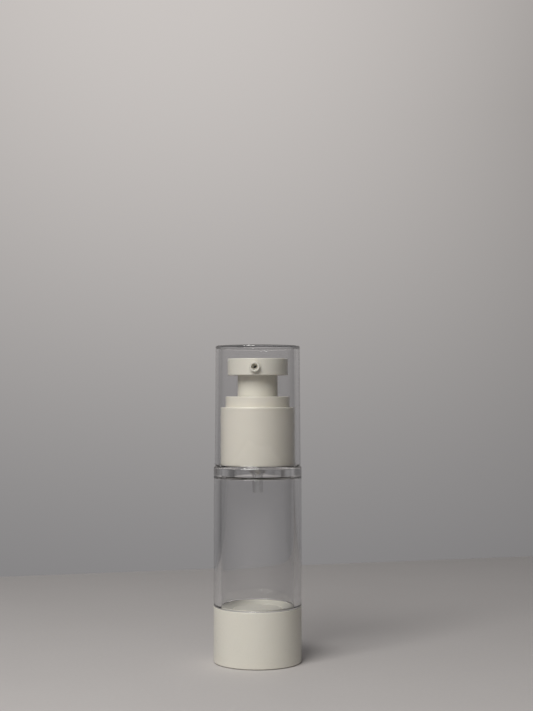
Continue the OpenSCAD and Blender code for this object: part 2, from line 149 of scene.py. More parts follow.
@dataclass
class Outline:
    """A closed lathe outline: corners of radius and height, each with a fillet.

    Args:
        step: Largest turn between two points of a fillet, in degrees.
        hold: Distance of the extra point that keeps a straight stretch straight.
        fillet_room: Share of a stretch that one fillet may take.
        hold_room: Share of what is left that the extra point may take.
        fewest: Fewest steps of a fillet.
        straight: Opening, in degrees, past which a corner counts as none.
        corners: Radius, height and fillet of each corner.
    """

    step: float = 11.0
    hold: float = 0.12
    fillet_room: float = 0.42
    hold_room: float = 0.3
    fewest: int = 3
    straight: float = 179.0
    corners: list[tuple[float, float, float]] = field(default_factory=list)

    def to(self, r: float, z: float, fillet: float = 0.08) -> Outline:
        """Adds a corner.

        Args:
            r: Radius of the corner.
            z: Height of the corner.
            fillet: Radius that rounds the corner.

        Returns:
            The outline itself, so that corners can be chained.
        """
        self.corners.append((r, z, fillet))
        return self

    def _rounded(self, before: Point, here: Point, after: Point, fillet: float) -> list[Point]:
        """Rounds one corner.

        Args:
            before: The corner before it.
            here: The corner itself.
            after: The corner after it.
            fillet: Radius that rounds it.

        Returns:
            The points that take the corner's place.
        """
        corner = Vector(here)
        back, ahead = Vector(before) - corner, Vector(after) - corner
        opening = back.angle(ahead)
        if fillet <= 0 or here[0] <= 0 or opening > math.radians(self.straight):
            return [here]
        room = self.fillet_room * min(back.length, ahead.length)
        reach = min(fillet / math.tan(opening / 2), room)
        radius = reach * math.tan(opening / 2)
        start = corner + back.normalized() * reach
        between = (back.normalized() + ahead.normalized()).normalized()
        middle = corner + between * (radius / math.sin(opening / 2))
        turn = math.pi - opening
        count = max(self.fewest, math.ceil(math.degrees(turn) / self.step))
        side = math.copysign(1, back.x * ahead.y - back.y * ahead.x)
        arm = start - middle
        points = []
        for i in range(count + 1):
            a = -side * turn * i / count
            points.append((middle.x + arm.x * math.cos(a) - arm.y * math.sin(a),
                           middle.y + arm.x * math.sin(a) + arm.y * math.cos(a)))
        hold_back = min(self.hold, self.hold_room * (back.length - reach))
        hold_ahead = min(self.hold, self.hold_room * (ahead.length - reach))
        first = corner + back.normalized() * (reach + hold_back)
        last = corner + ahead.normalized() * (reach + hold_ahead)
        return [tuple(first), *points, tuple(last)]

    def points(self) -> list[Point]:
        """Returns the outline's points with every corner rounded."""
        count = len(self.corners)
        out: list[Point] = []
        for i, (r, z, fillet) in enumerate(self.corners):
            before = self.corners[i - 1][:2]
            after = self.corners[(i + 1) % count][:2]
            out += self._rounded(before, (r, z), after, fillet)
        return out


class Solids:
    """Makes and combines closed meshes.

    AXIS is the radius, in millimetres, up to which a ring is a single point. SHARP is the
    angle, in degrees, past which an edge of a combined piece is shaded as a corner.
    """

    AXIS = 1e-6
    SHARP = 32

    @staticmethod
    def from_bmesh(name: str, bm: bmesh.types.BMesh) -> Piece:
        """Turns a bmesh into an object at the origin.

        Args:
            name: Name of the object and of its mesh.
            bm: The bmesh, which is freed.

        Returns:
            The new object.
        """
        mesh = bpy.data.meshes.new(name)
        bm.to_mesh(mesh)
        bm.free()
        mesh.polygons.foreach_set("use_smooth", [True] * len(mesh.polygons))
        piece = bpy.data.objects.new(name, mesh)
        bpy.context.scene.collection.objects.link(piece)
        return piece

    @classmethod
    def lathe(cls, name: str, outline: Outline, steps: Steps = Steps.WIDE) -> Piece:
        """Turns an outline round the Z axis into a closed solid.

        Args:
            name: Name of the object.
            outline: The outline, closed, with poles where its radius is 0.
            steps: Number of steps round the axis.

        Returns:
            The new object.
        """
        bm = bmesh.new()
        rings = []
        for r, z in outline.points():
            if r <= cls.AXIS:
                rings.append([bm.verts.new((0, 0, z * MM))])
                continue
            ring = []
            for k in range(steps):
                a = math.tau * k / steps
                ring.append(bm.verts.new((r * MM * math.cos(a), r * MM * math.sin(a), z * MM)))
            rings.append(ring)
        for i, ring in enumerate(rings):
            following = rings[(i + 1) % len(rings)]
            if len(ring) == 1 and len(following) == 1:
                continue
            for k in range(steps):
                n = (k + 1) % steps
                corners = [ring[k % len(ring)], ring[n % len(ring)],
                           following[n % len(following)], following[k % len(following)]]
                # At a pole two corners are one point, which leaves a triangle.
                bm.faces.new(list(dict.fromkeys(corners)))
        bmesh.ops.recalc_face_normals(bm, faces=bm.faces)
        return cls.from_bmesh(name, bm)

    @staticmethod
    def bake(piece: Piece) -> Piece:
        """Makes a piece's modifiers part of its mesh.

        Args:
            piece: The piece.

        Returns:
            The same piece, with a plain mesh and no modifier.
        """
        graph = bpy.context.evaluated_depsgraph_get()
        graph.update()
        mesh = bpy.data.meshes.new_from_object(piece.evaluated_get(graph))
        mesh.name = piece.name
        piece.modifiers.clear()
        piece.data = mesh
        return piece

    @classmethod
    def combine(cls, piece: Piece, others: list[Piece], cut: Cut) -> Piece:
        """Adds solids to a piece, or cuts them out of it.

        Args:
            piece: The piece that is changed.
            others: The solids, which are used up.
            cut: Whether they are added or taken away.

        Returns:
            The same piece.
        """
        for other in others:
            step = piece.modifiers.new(other.name, "BOOLEAN")
            step.operation = cut.value
            step.solver = "EXACT"
            step.object = other
            cls.bake(piece)
            bpy.data.objects.remove(other)
        piece.data.polygons.foreach_set("use_smooth", [True] * len(piece.data.polygons))
        piece.data.set_sharp_from_angle(angle=math.radians(cls.SHARP))
        return piece


class NodeTree:
    """A node tree while it is being built."""

    def __init__(self, tree: bpy.types.NodeTree) -> None:
        """Starts with the tree empty.

        Args:
            tree: Blender's tree.
        """
        self.tree = tree
        tree.nodes.clear()

    def add(self, kind: str, links: Links | None = None, **settings: object) -> bpy.types.Node:
        """Adds a node.

        Args:
            kind: Blender's type name of the node.
            links: For each input, by name or number, the socket or constant that feeds it.
            settings: Properties of the node.

        Returns:
            The new node.
        """
        made = self.tree.nodes.new(kind)
        for key, value in settings.items():
            setattr(made, key, value)
        for key, source in (links or {}).items():
            if isinstance(source, Socket):
                self.tree.links.new(source, made.inputs[key])
            else:
                made.inputs[key].default_value = source
        return made

    def math(self, operation: str, *terms: Socket | float) -> Socket:
        """Adds a Math node.

        Args:
            operation: Blender's name of the operation.
            terms: Sockets or numbers it works on.

        Returns:
            The node's output.
        """
        return self.add("ShaderNodeMath", dict(enumerate(terms)), operation=operation).outputs[0]

    def vector(self, x: Socket | float = 0.0, y: Socket | float = 0.0, z: Socket | float = 0.0) -> Socket:
        """Joins three coordinates.

        Args:
            x: The first one.
            y: The second one.
            z: The third one.

        Returns:
            The vector.
        """
        return self.add("ShaderNodeCombineXYZ", {0: x, 1: y, 2: z}).outputs[0]

    def ramp(self, value: Socket, source: tuple[float, Socket | float], target: Point,
             way: Way = Way.STRAIGHT) -> Socket:
        """Maps a value from one range to another, and holds it there.

        Args:
            value: The value.
            source: Range that is mapped.
            target: Range that it is mapped to.
            way: How it goes from the first value to the last.

        Returns:
            The mapped value.
        """
        return self.add("ShaderNodeMapRange", {
            "Value": value, "From Min": source[0], "From Max": source[1],
            "To Min": target[0], "To Max": target[1]}, interpolation_type=way.value).outputs[0]

    def mix(self, share: Socket, low: Colour, high: Colour) -> Socket:
        """Mixes two colours.

        Args:
            share: Share of the second colour.
            low: Colour where the share is 0.
            high: Colour where the share is 1.

        Returns:
            The mixed colour.
        """
        colours = {0: share, 6: (*low, 1), 7: (*high, 1)}
        return self.add("ShaderNodeMix", colours, data_type="RGBA").outputs[2]


class GeometryTree(NodeTree):
    """A Geometry Nodes tree whose sizes are named inputs."""

    def __init__(self, name: str) -> None:
        """Starts an empty tree.

        Args:
            name: Name of the tree.
        """
        super().__init__(bpy.data.node_groups.new(name, "GeometryNodeTree"))
        self.tree.interface.new_socket("Geometry", in_out="OUTPUT", socket_type="NodeSocketGeometry")
        self.entry = self.add("NodeGroupInput")
        self.exit = self.add("NodeGroupOutput")
        self.values: dict[str, float | int] = {}

    def size(self, name: str, value: float | int) -> Socket:
        """Adds a named input.

        Args:
            name: Name of the input.
            value: Its value on this piece, in metres, turns or a count.

        Returns:
            The input as a socket inside the tree.
        """
        kind = "NodeSocketInt" if isinstance(value, int) else "NodeSocketFloat"
        item = self.tree.interface.new_socket(name, in_out="INPUT", socket_type=kind)
        self.values[item.identifier] = value
        return self.entry.outputs[name]

    def turned(self, turns: Socket) -> Socket:
        """Tells how far a helix has turned at each of its points.

        Args:
            turns: Number of its turns.

        Returns:
            The turns made so far.
        """
        return self.math("MULTIPLY", self.add("GeometryNodeSplineParameter").outputs["Factor"], turns)

    def helix(self, count: Socket, turned: Socket, radius: Socket, height: Socket) -> Socket:
        """Winds a line round the Z axis.

        Args:
            count: Number of its points.
            turned: Turns made so far, at each point.
            radius: Radius of the turns.
            height: Height of each point.

        Returns:
            The curve.
        """
        line = self.add("GeometryNodeCurvePrimitiveLine")
        fine = self.add("GeometryNodeResampleCurve", {"Curve": line.outputs[0], "Count": count})
        angle = self.math("MULTIPLY", turned, math.tau)
        place = self.vector(self.math("MULTIPLY", self.math("COSINE", angle), radius),
                            self.math("MULTIPLY", self.math("SINE", angle), radius), height)
        moved = self.add("GeometryNodeSetPosition", {"Geometry": fine.outputs[0], "Position": place})
        return moved.outputs[0]

    def tube(self, curve: Socket, radius: Socket, sides: int, scale: Socket | float = 1.0) -> Socket:
        """Makes a closed tube along a curve.

        Args:
            curve: The curve.
            radius: Radius of the tube.
            sides: Number of its sides.
            scale: What the radius is multiplied by, at each point.

        Returns:
            The tube.
        """
        circle = self.add("GeometryNodeCurvePrimitiveCircle", {"Resolution": sides, "Radius": radius})
        swept = self.add("GeometryNodeCurveToMesh", {
            "Curve": curve, "Profile Curve": circle.outputs[0], "Scale": scale, "Fill Caps": True})
        return swept.outputs[0]

    def make(self, name: str, geometry: Socket, material: Material) -> Piece:
        """Ends the tree in Realize Instances and Set Material, and runs it.

        Args:
            name: Name of the new piece.
            geometry: The geometry made so far.
            material: The material of all of it.

        Returns:
            A plain mesh object at the origin.
        """
        real = self.add("GeometryNodeRealizeInstances", {"Geometry": geometry})
        dressed = self.add("GeometryNodeSetMaterial", {"Geometry": real.outputs[0], "Material": material})
        self.tree.links.new(dressed.outputs[0], self.exit.inputs[0])
        piece = bpy.data.objects.new(name, bpy.data.meshes.new(name))
        step = piece.modifiers.new("shape", "NODES")
        step.node_group = self.tree
        for identifier, value in self.values.items():
            step[identifier] = value
        bpy.context.scene.collection.objects.link(piece)
        return Solids.bake(piece)


class Shader(NodeTree):
    """A material's node tree while it is being built.

    PATTERN is the range of a noise that spread() stretches to its whole range. SLANT is the
    range of slants, from head-on to edgewise, over which let_light_in() lets less light pass.
    """

    PATTERN: Point = (0.3, 0.7)
    SLANT: Point = (0.3, 0.75)

    def __init__(self, name: str) -> None:
        """Starts a material.

        Args:
            name: Name of the material.
        """
        self.material = bpy.data.materials.new(name)
        self.material.use_nodes = True
        super().__init__(self.material.node_tree)
        self.place = self.add("ShaderNodeTexCoord").outputs["Object"]

    def noise(self, size: float, detail: float = 3.0, stretch: Colour = (1, 1, 1)) -> Socket:
        """Adds a noise pattern on Object coordinates.

        Args:
            size: Size of its patches.
            detail: Number of finer layers.
            stretch: How much longer the patches are along X, Y and Z.

        Returns:
            A value round 0.5.
        """
        scale = [1 / (size * MM * s) for s in stretch]
        mapped = self.add("ShaderNodeMapping", {"Vector": self.place, "Scale": scale}).outputs[0]
        return self.add("ShaderNodeTexNoise", {"Vector": mapped, "Scale": 1.0, "Detail": detail}).outputs[0]

    def spread(self, value: Socket, low: float, high: float) -> Socket:
        """Maps a noise to a range.

        Args:
            value: The noise.
            low: Result for the pattern's low parts.
            high: Result for its high parts.

        Returns:
            The mapped value.
        """
        return self.ramp(value, self.PATTERN, (low, high))

    def blend(self, value: Socket, low: Colour, high: Colour) -> Socket:
        """Mixes two colours by a noise.

        Args:
            value: The noise.
            low: Colour of the pattern's low parts.
            high: Colour of its high parts.

        Returns:
            The mixed colour.
        """
        return self.mix(self.spread(value, *WHOLE), low, high)

    def relief(self, height: Socket, depth: float, under: Socket | None = None) -> Socket:
        """Adds a bump.

        Args:
            height: The pattern, from 0 to 1.
            depth: Depth of the relief.
            under: Normal of a coarser relief below it.

        Returns:
            The bumped normal.
        """
        links: Links = {"Height": height, "Strength": 1.0, "Distance": depth * MM}
        if under is not None:
            links["Normal"] = under
        return self.add("ShaderNodeBump", links).outputs[0]

    def let_light_in(self, body: Socket, facing: float, edgewise: float) -> Socket:
        """Lets lamp light and stray light pass straight through a clear wall, less of it edgewise.

        Args:
            body: The clear shader, as the camera sees it.
            facing: Share of the light that passes a face head-on.
            edgewise: Share that passes a face at a grazing angle.

        Returns:
            The mixed shader.
        """
        slant = self.add("ShaderNodeLayerWeight", {"Blend": 0.5}).outputs["Facing"]
        passed = self.ramp(slant, self.SLANT, (facing, edgewise))
        clear = self.add("ShaderNodeBsdfTransparent", {"Color": passed}).outputs[0]
        path = self.add("ShaderNodeLightPath").outputs
        stray = self.add("ShaderNodeMixShader", {0: path["Is Diffuse Ray"], 1: body, 2: clear}).outputs[0]
        return self.add("ShaderNodeMixShader", {0: path["Is Shadow Ray"], 1: stray, 2: clear}).outputs[0]

    def surface(self, inputs: Links) -> Socket:
        """Adds the main surface.

        Args:
            inputs: What its inputs take.

        Returns:
            Its shader.
        """
        return self.add("ShaderNodeBsdfPrincipled", inputs).outputs[0]

    def done(self, shader: Socket) -> Material:
        """Ends the material.

        Args:
            shader: The finished shader.

        Returns:
            The material.
        """
        self.add("ShaderNodeOutputMaterial", {"Surface": shader})
        return self.material


@dataclass(frozen=True)
class SatinWhite:
    """Moulded white plastic with a satin, finely eroded skin."""

    name: str = "satin_white"
    slot: str = "white_plastic"
    pale: Colour = (0.828, 0.803, 0.724)
    deep: Colour = (0.802, 0.776, 0.694)
    roughness: Point = (0.25, 0.36)
    grain: float = 0.3
    grain_depth: float = 0.004
    flow: float = 14.0
    flow_depth: float = 0.012
    ior: float = 1.49
    glow: float = 0.06
    glow_depth: Colour = (1.0, 0.8, 0.6)

    def material(self) -> Material:
        """Returns the material."""
        shader = Shader(self.name)
        grain = shader.noise(self.grain, detail=4.0)
        flow = shader.noise(self.flow, detail=2.0)
        coarse = shader.relief(flow, self.flow_depth)
        return shader.done(shader.surface({
            "Base Color": shader.blend(flow, self.deep, self.pale),
            "Roughness": shader.spread(grain, *self.roughness),
            "IOR": self.ior,
            "Normal": shader.relief(grain, self.grain_depth, coarse),
            "Subsurface Weight": self.glow,
            "Subsurface Radius": self.glow_depth,
            "Subsurface Scale": GLOW_SCALE,
        }))


@dataclass(frozen=True)
class ClearPlastic:
    """Polished clear plastic with a faint drawn waviness along its height."""

    name: str
    tint: Colour
    facing: float
    edgewise: float
    slot: str = "clear_plastic"
    roughness: Point = (0.012, 0.045)
    ior: float = 1.56
    wave: float = 2.2
    wave_stretch: Colour = (1, 1, 14)
    wave_depth: float = 0.0015
    smear: float = 9.0

    def material(self) -> Material:
        """Returns the material."""
        shader = Shader(self.name)
        wave = shader.noise(self.wave, detail=1.0, stretch=self.wave_stretch)
        smear = shader.noise(self.smear, detail=3.0)
        body = shader.surface({
            "Base Color": (*self.tint, 1),
            "Roughness": shader.spread(smear, *self.roughness),
            "IOR": self.ior,
            "Transmission Weight": 1.0,
            "Normal": shader.relief(wave, self.wave_depth),
        })
        return shader.done(shader.let_light_in(body, self.facing, self.edgewise))


@dataclass(frozen=True)
class NaturalPlastic:
    """Uncoloured pump plastic: milky and see-through where it is thin."""

    name: str = "natural_plastic"
    slot: str = "natural_plastic"
    milk: Colour = (0.95, 0.96, 0.95)
    clouds: Colour = (0.98, 0.985, 0.98)
    cloud: float = 3.0
    grain: float = 1.2
    grain_depth: float = 0.0015
    roughness: Point = (0.04, 0.08)
    ior: float = 1.5
    clearness: float = 0.93
    cover: float = 0.35
    facing: float = 0.95
    edgewise: float = 0.6

    def material(self) -> Material:
        """Returns the material."""
        shader = Shader(self.name)
        cloud = shader.noise(self.cloud, detail=3.0)
        grain = shader.noise(self.grain, detail=2.0)
        body = shader.surface({
            "Base Color": shader.blend(cloud, self.milk, self.clouds),
            "Roughness": shader.spread(grain, *self.roughness),
            "IOR": self.ior,
            "Transmission Weight": self.clearness,
            "Alpha": self.cover,
            "Normal": shader.relief(grain, self.grain_depth),
        })
        return shader.done(shader.let_light_in(body, self.facing, self.edgewise))


@dataclass(frozen=True)
class SoftSeal:
    """Soft off-white seal plastic with a dull skin."""

    name: str = "soft_seal"
    slot: str = "white_seal"
    pale: Colour = (0.80, 0.80, 0.77)
    deep: Colour = (0.74, 0.74, 0.71)
    cloud: float = 2.0
    grain: float = 0.15
    grain_depth: float = 0.004
    roughness: Point = (0.5, 0.62)
    ior: float = 1.51
    glow: float = 0.15
    glow_depth: Colour = (1.0, 0.9, 0.8)

    def material(self) -> Material:
        """Returns the material."""
        shader = Shader(self.name)
        cloud = shader.noise(self.cloud, detail=3.0)
        grain = shader.noise(self.grain, detail=4.0)
        return shader.done(shader.surface({
            "Base Color": shader.blend(cloud, self.deep, self.pale),
            "Roughness": shader.spread(grain, *self.roughness),
            "IOR": self.ior,
            "Normal": shader.relief(grain, self.grain_depth),
            "Subsurface Weight": self.glow,
            "Subsurface Radius": self.glow_depth,
            "Subsurface Scale": GLOW_SCALE,
        }))


@dataclass(frozen=True)
class SpringSteel:
    """Bright drawn stainless wire and ball."""

    name: str = "spring_steel"
    slot: str = "steel"
    bright: Colour = (0.66, 0.65, 0.63)
    dull: Colour = (0.52, 0.51, 0.50)
    stain: float = 1.6
    draw: float = 0.08
    draw_stretch: Colour = (6, 6, 1)
    draw_depth: float = 0.0015
    roughness: Point = (0.16, 0.3)

    def material(self) -> Material:
        """Returns the material."""
        shader = Shader(self.name)
        stain = shader.noise(self.stain, detail=4.0)
        draw = shader.noise(self.draw, detail=3.0, stretch=self.draw_stretch)
        return shader.done(shader.surface({
            "Base Color": shader.blend(stain, self.dull, self.bright),
            "Metallic": 1.0,
            "Roughness": shader.spread(draw, *self.roughness),
            "Normal": shader.relief(draw, self.draw_depth),
        }))


Finish = SatinWhite | ClearPlastic | NaturalPlastic | SoftSeal | SpringSteel

WHITE = SatinWhite()
# The shroud's white is painted brighter than the head's, a painted lift that stands in for the light the
# clear cap holds back.
SHROUD_WHITE_PAINTED_BRIGHTER = SatinWhite("shroud_white_painted_brighter", pale=(0.893, 0.854, 0.762), deep=(0.862, 0.823, 0.73))
# The follower's white is painted brighter than the other whites, a painted lift that stands in for light
# reaching it through the bottle wall.
FOLLOWER_WHITE_PAINTED_BRIGHTER = SatinWhite("follower_white_painted_brighter", "white_seal", pale=(0.96, 0.93, 0.82),
                            deep=(0.93, 0.90, 0.785), roughness=(0.31, 0.42))
CLEAR_BOTTLE = ClearPlastic("clear_bottle", tint=(0.89, 0.89, 0.895), facing=0.99, edgewise=0.25)
CLEAR_CAP = ClearPlastic("clear_cap", tint=(0.925, 0.925, 0.93), facing=1.0, edgewise=0.75)
NATURAL = NaturalPlastic()
SEAL = SoftSeal()
STEEL = SpringSteel()


class Dresser:
    """Gives each piece its finish, its body and the node it stands for."""

    def __init__(self) -> None:
        """Starts with no material made."""
        self.materials: dict[Finish, Material] = {}

    def material(self, finish: Finish) -> Material:
        """Makes a finish's material the first time it is asked for.

        Args:
            finish: The finish.

        Returns:
            Its material.
        """
        if finish not in self.materials:
            self.materials[finish] = finish.material()
        return self.materials[finish]

    def dress(self, piece: Piece, node: str, body: Body, finish: Finish) -> None:
        """Finishes one piece.

        Args:
            piece: The piece.
            node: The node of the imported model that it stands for.
            body: The body that it rides on.
            finish: Its finish.
        """
        piece.data.materials.clear()
        piece.data.materials.append(self.material(finish))
        piece.data.polygons.foreach_set("material_index", [0] * len(piece.data.polygons))
        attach(piece, body.value)
        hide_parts(node)
        piece.data.calc_loop_triangles()
        LOG.info("%s: %d triangles, on %s", piece.name, len(piece.data.loop_triangles), body.value)


@dataclass(frozen=True)
class RibRing:
    """Equal flat ribs set round the axis.

    Args:
        count: Number of ribs.
        inner: Radius where a rib starts.
        outer: Radius where it ends.
        width: Thickness of a rib.
        low: Height of its lower edge.
        high: Height of its upper edge.
        first: Direction of the first rib, in degrees.
    """

    count: int
    inner: float
    outer: float
    width: float
    low: float
    high: float
    first: float = 0.0

    def make(self, name: str, material: Material) -> Piece:
        """Makes the ribs.

        Args:
            name: Name of the new object.
            material: Their material.

        Returns:
            The ribs as one object.
        """
        tree = GeometryTree(name)
        count = tree.size("Count", self.count)
        inner = tree.size("Inner radius", self.inner * MM)
        outer = tree.size("Outer radius", self.outer * MM)
        width = tree.size("Width", self.width * MM)
        low = tree.size("Low", self.low * MM)
        high = tree.size("High", self.high * MM)
        first = tree.size("First angle", math.radians(self.first))
        size = tree.vector(tree.math("SUBTRACT", outer, inner), width, tree.math("SUBTRACT", high, low))
        middle = tree.vector(x=tree.math("MULTIPLY", tree.math("ADD", outer, inner), 0.5),
                             z=tree.math("MULTIPLY", tree.math("ADD", high, low), 0.5))
        rib = tree.add("GeometryNodeMeshCube", {"Size": size}).outputs[0]
        placed = tree.add("GeometryNodeTransform", {"Geometry": rib, "Translation": middle}).outputs[0]
        points = tree.add("GeometryNodePoints", {"Count": count}).outputs[0]
        index = tree.add("GeometryNodeInputIndex").outputs[0]
        angle = tree.math("ADD", tree.math("DIVIDE", tree.math("MULTIPLY", index, math.tau), count), first)
        copies = tree.add("GeometryNodeInstanceOnPoints", {
            "Points": points, "Instance": placed, "Rotation": tree.vector(z=angle)})
        return tree.make(name, copies.outputs[0], material)


@dataclass(frozen=True)
class ThreadBead:
    """A round-crested thread that fades out at both ends.

    Args:
        radius: Radius of the bead's middle line.
        bead: Radius of the bead itself.
        start: Height of its first point.
        pitch: Rise for each turn.
        turns: Number of turns.
        fade: Part of a turn over which it fades out.
        least: Share of its size that is left at the ends.
        sides: Sides of the bead's round section.
        steps: Points along one turn.
    """

    radius: float
    bead: float
    start: float
    pitch: float = 3.0
    turns: float = 1.5
    fade: float = 0.16
    least: float = 0.35
    sides: int = 20
    steps: int = 64

    def make(self, name: str, material: Material) -> Piece:
        """Makes the bead.

        Args:
            name: Name of the new object.
            material: Its material.

        Returns:
            The bead as a closed tube.
        """
        tree = GeometryTree(name)
        radius = tree.size("Radius", self.radius * MM)
        bead = tree.size("Bead radius", self.bead * MM)
        start = tree.size("Start height", self.start * MM)
        pitch = tree.size("Pitch", self.pitch * MM)
        turns = tree.size("Turns", self.turns)
        fade = tree.size("Fade", self.fade)
        steps = tree.size("Points", round(self.turns * self.steps))
        turned = tree.turned(turns)
        height = tree.math("ADD", tree.math("MULTIPLY", turned, pitch), start)
        helix = tree.helix(steps, turned, radius, height)
        to_end = tree.math("MINIMUM", turned, tree.math("SUBTRACT", turns, turned))
        full = tree.ramp(to_end, (0.0, fade), (self.least, 1.0), Way.SMOOTH)
        return tree.make(name, tree.tube(helix, bead, self.sides, full), material)


@dataclass(frozen=True)
class SnapBead:
    """The bead that holds the bottle's skirt in the base.

    Args:
        drop: Depth of its crest below the base's rim.
        height: Its height.
        depth: How far it stands out.
        crest: Radius that rounds its crest.
    """

    drop: float = 4.0
    height: float = 1.2
    depth: float = 0.25
    crest: float = 0.3

    def put_on(self, outline: Outline, radius: float, rim: float, upward: bool) -> Outline:
        """Adds the bead to a wall of an outline.

        Args:
            outline: The outline so far.
            radius: Radius of the wall.
            rim: Height of the base's rim.
            upward: Whether the outline runs upward here.

        Returns:
            The same outline.
        """
        middle = rim - self.drop
        side = -self.height / 2 if upward else self.height / 2
        return (
            outline
            .to(radius, middle + side)
            .to(radius - self.depth, middle, self.crest)
            .to(radius, middle - side)
        )


@dataclass
class Part:
    """One piece or a few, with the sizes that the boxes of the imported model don't tell.

    Args:
        dresser: Gives the pieces their finishes.
    """

    dresser: Dresser

    def build(self) -> None:
        """Makes the pieces."""
        raise NotImplementedError


@dataclass
class Base(Part):
    """White cup under the bottle."""

    floor: float = 1.4
    recess: float = 0.9
    foot_edge: float = 0.25
    foot_step: Point = (0.6, 0.22)
    foot_in: float = 11.7
    vent: float = 1.0
    bore: float = 13.65
    stop: Point = (12.2, 11.2)
    stop_top: float = 8.4
    snap: SnapBead = SnapBead()

    def build(self) -> None:
        """Makes the cup."""
        box = NodeBox.of("base_cup")
        foot_out = box.radius - self.foot_step[0]
        floor = self.recess + self.floor
        outline = (
            Outline()
            .to(self.vent, self.recess, 0.15)
            .to(self.foot_in - self.recess, self.recess, 0.5)
            .to(self.foot_in, 0, 0.35)
            .to(foot_out, 0, 0.05)
            .to(foot_out, self.foot_step[1], 0.05)
            .to(box.radius, self.foot_step[1], self.foot_edge)
            .to(box.radius, box.high, 0.25)
            .to(self.bore, box.high, 0.12)
        )
        outline = (
            self.snap.put_on(outline, self.bore, box.high, upward=False)
            .to(self.bore, floor, 0.3)
            .to(self.stop[0], floor, 0.2)
            .to(self.stop[0], self.stop_top, 0.15)
            .to(self.stop[1], self.stop_top, 0.15)
            .to(self.stop[1], floor, 0.3)
            .to(self.vent, floor, 0.15)
        )
        self.dresser.dress(Solids.lathe("base", outline), "base_cup", Body.BOTTLE, WHITE)


@dataclass
class ClearBottle(Part):
    """Thick-walled clear tube with a shoulder and a threaded neck."""

    bore: float = 12.5
    skirt: float = 13.6
    seam_gap: float = 0.05
    seam_edge: float = 0.5
    ceiling: float = 63.0
    shoulder: float = 66.9
    shoulder_edge: float = 1.2
    neck: float = 9.5
    neck_bore: float = 8.1
    lead_in: Point = (0.4, 0.8)
    snap: SnapBead = SnapBead()
    thread_height: float = 0.85
    thread_start: float = 70.45
    thread_bead: float = 0.65

    def build(self) -> None:
        """Makes the bottle."""
        box = NodeBox.of("bottle")
        rim = NodeBox.of("base_cup").high
        seam = rim + self.seam_gap
        outline = (
            Outline()
            .to(self.bore + self.lead_in[0], box.low, 0.1)
            .to(self.skirt, box.low, 0.15)
        )
        outline = (
            self.snap.put_on(outline, self.skirt, rim, upward=True)
            .to(self.skirt, seam, 0.15)
            .to(box.radius, seam, self.seam_edge)
            .to(box.radius, self.shoulder, self.shoulder_edge)
            .to(self.neck, self.shoulder, 0.3)
            .to(self.neck, box.high, 0.3)
            .to(self.neck_bore, box.high, 0.15)
            .to(self.neck_bore, self.ceiling, 0.25)
            .to(self.bore, self.ceiling, 0.8)
            .to(self.bore, box.low + self.lead_in[1], 0.3)
        )
        bottle = Solids.lathe("bottle", outline)
        middle = self.neck + self.thread_height - self.thread_bead
        thread = ThreadBead(middle, self.thread_bead, self.thread_start)
        bead = thread.make("neck_thread", self.dresser.material(CLEAR_BOTTLE))
        Solids.combine(bottle, [bead], Cut.ADD)
        self.dresser.dress(bottle, "bottle", Body.BOTTLE, CLEAR_BOTTLE)


@dataclass
class Follower(Part):
    """White piston that rises in the bottle as it empties."""

    body: float = 11.7
    wall: float = 1.2
    lip_height: float = 2.0
    lip_edge: float = 0.2
    land: float = 0.5
    lip_slope: float = 0.3
    dish: float = 0.9
    flat: float = 8.3
    groove: float = 0.25

    def build(self) -> None:
        """Makes the follower."""
        box = NodeBox.of("follower_piston")
        inner = self.body - self.wall
        edge = box.radius - self.lip_edge
        land = edge - self.land
        dish_z = box.high - self.dish
        outline = (
            Outline(hold=0.06)
            .to(0, dish_z - self.wall, 0)
            .to(inner, dish_z - self.wall, 0.4)
            .to(inner, box.low + self.lip_height, 0.4)
            .to(land - self.lip_edge, box.low, 0.1)
            .to(edge, box.low, 0.08)
            .to(box.radius, box.low + self.lip_slope, 0.08)
            .to(self.body, box.low + self.lip_height, 0.6)
            .to(self.body, box.high - self.lip_height, 0.6)
            .to(box.radius, box.high - self.lip_slope, 0.08)
            .to(edge, box.high, 0.08)
            .to(land, box.high, 0.15)
            .to(land - 2 * self.lip_edge, box.high - self.lip_edge, 0.15)
            .to(self.flat + self.groove, dish_z, 0.15)
            .to(self.flat, dish_z - self.groove, 0.08)
            .to(self.flat - self.groove, dish_z, 0.12)
            .to(0, dish_z, 0)
        )
        follower = Solids.lathe("follower", outline)
        self.dresser.dress(follower, "follower_piston", Body.FOLLOWER, FOLLOWER_WHITE_PAINTED_BRIGHTER)


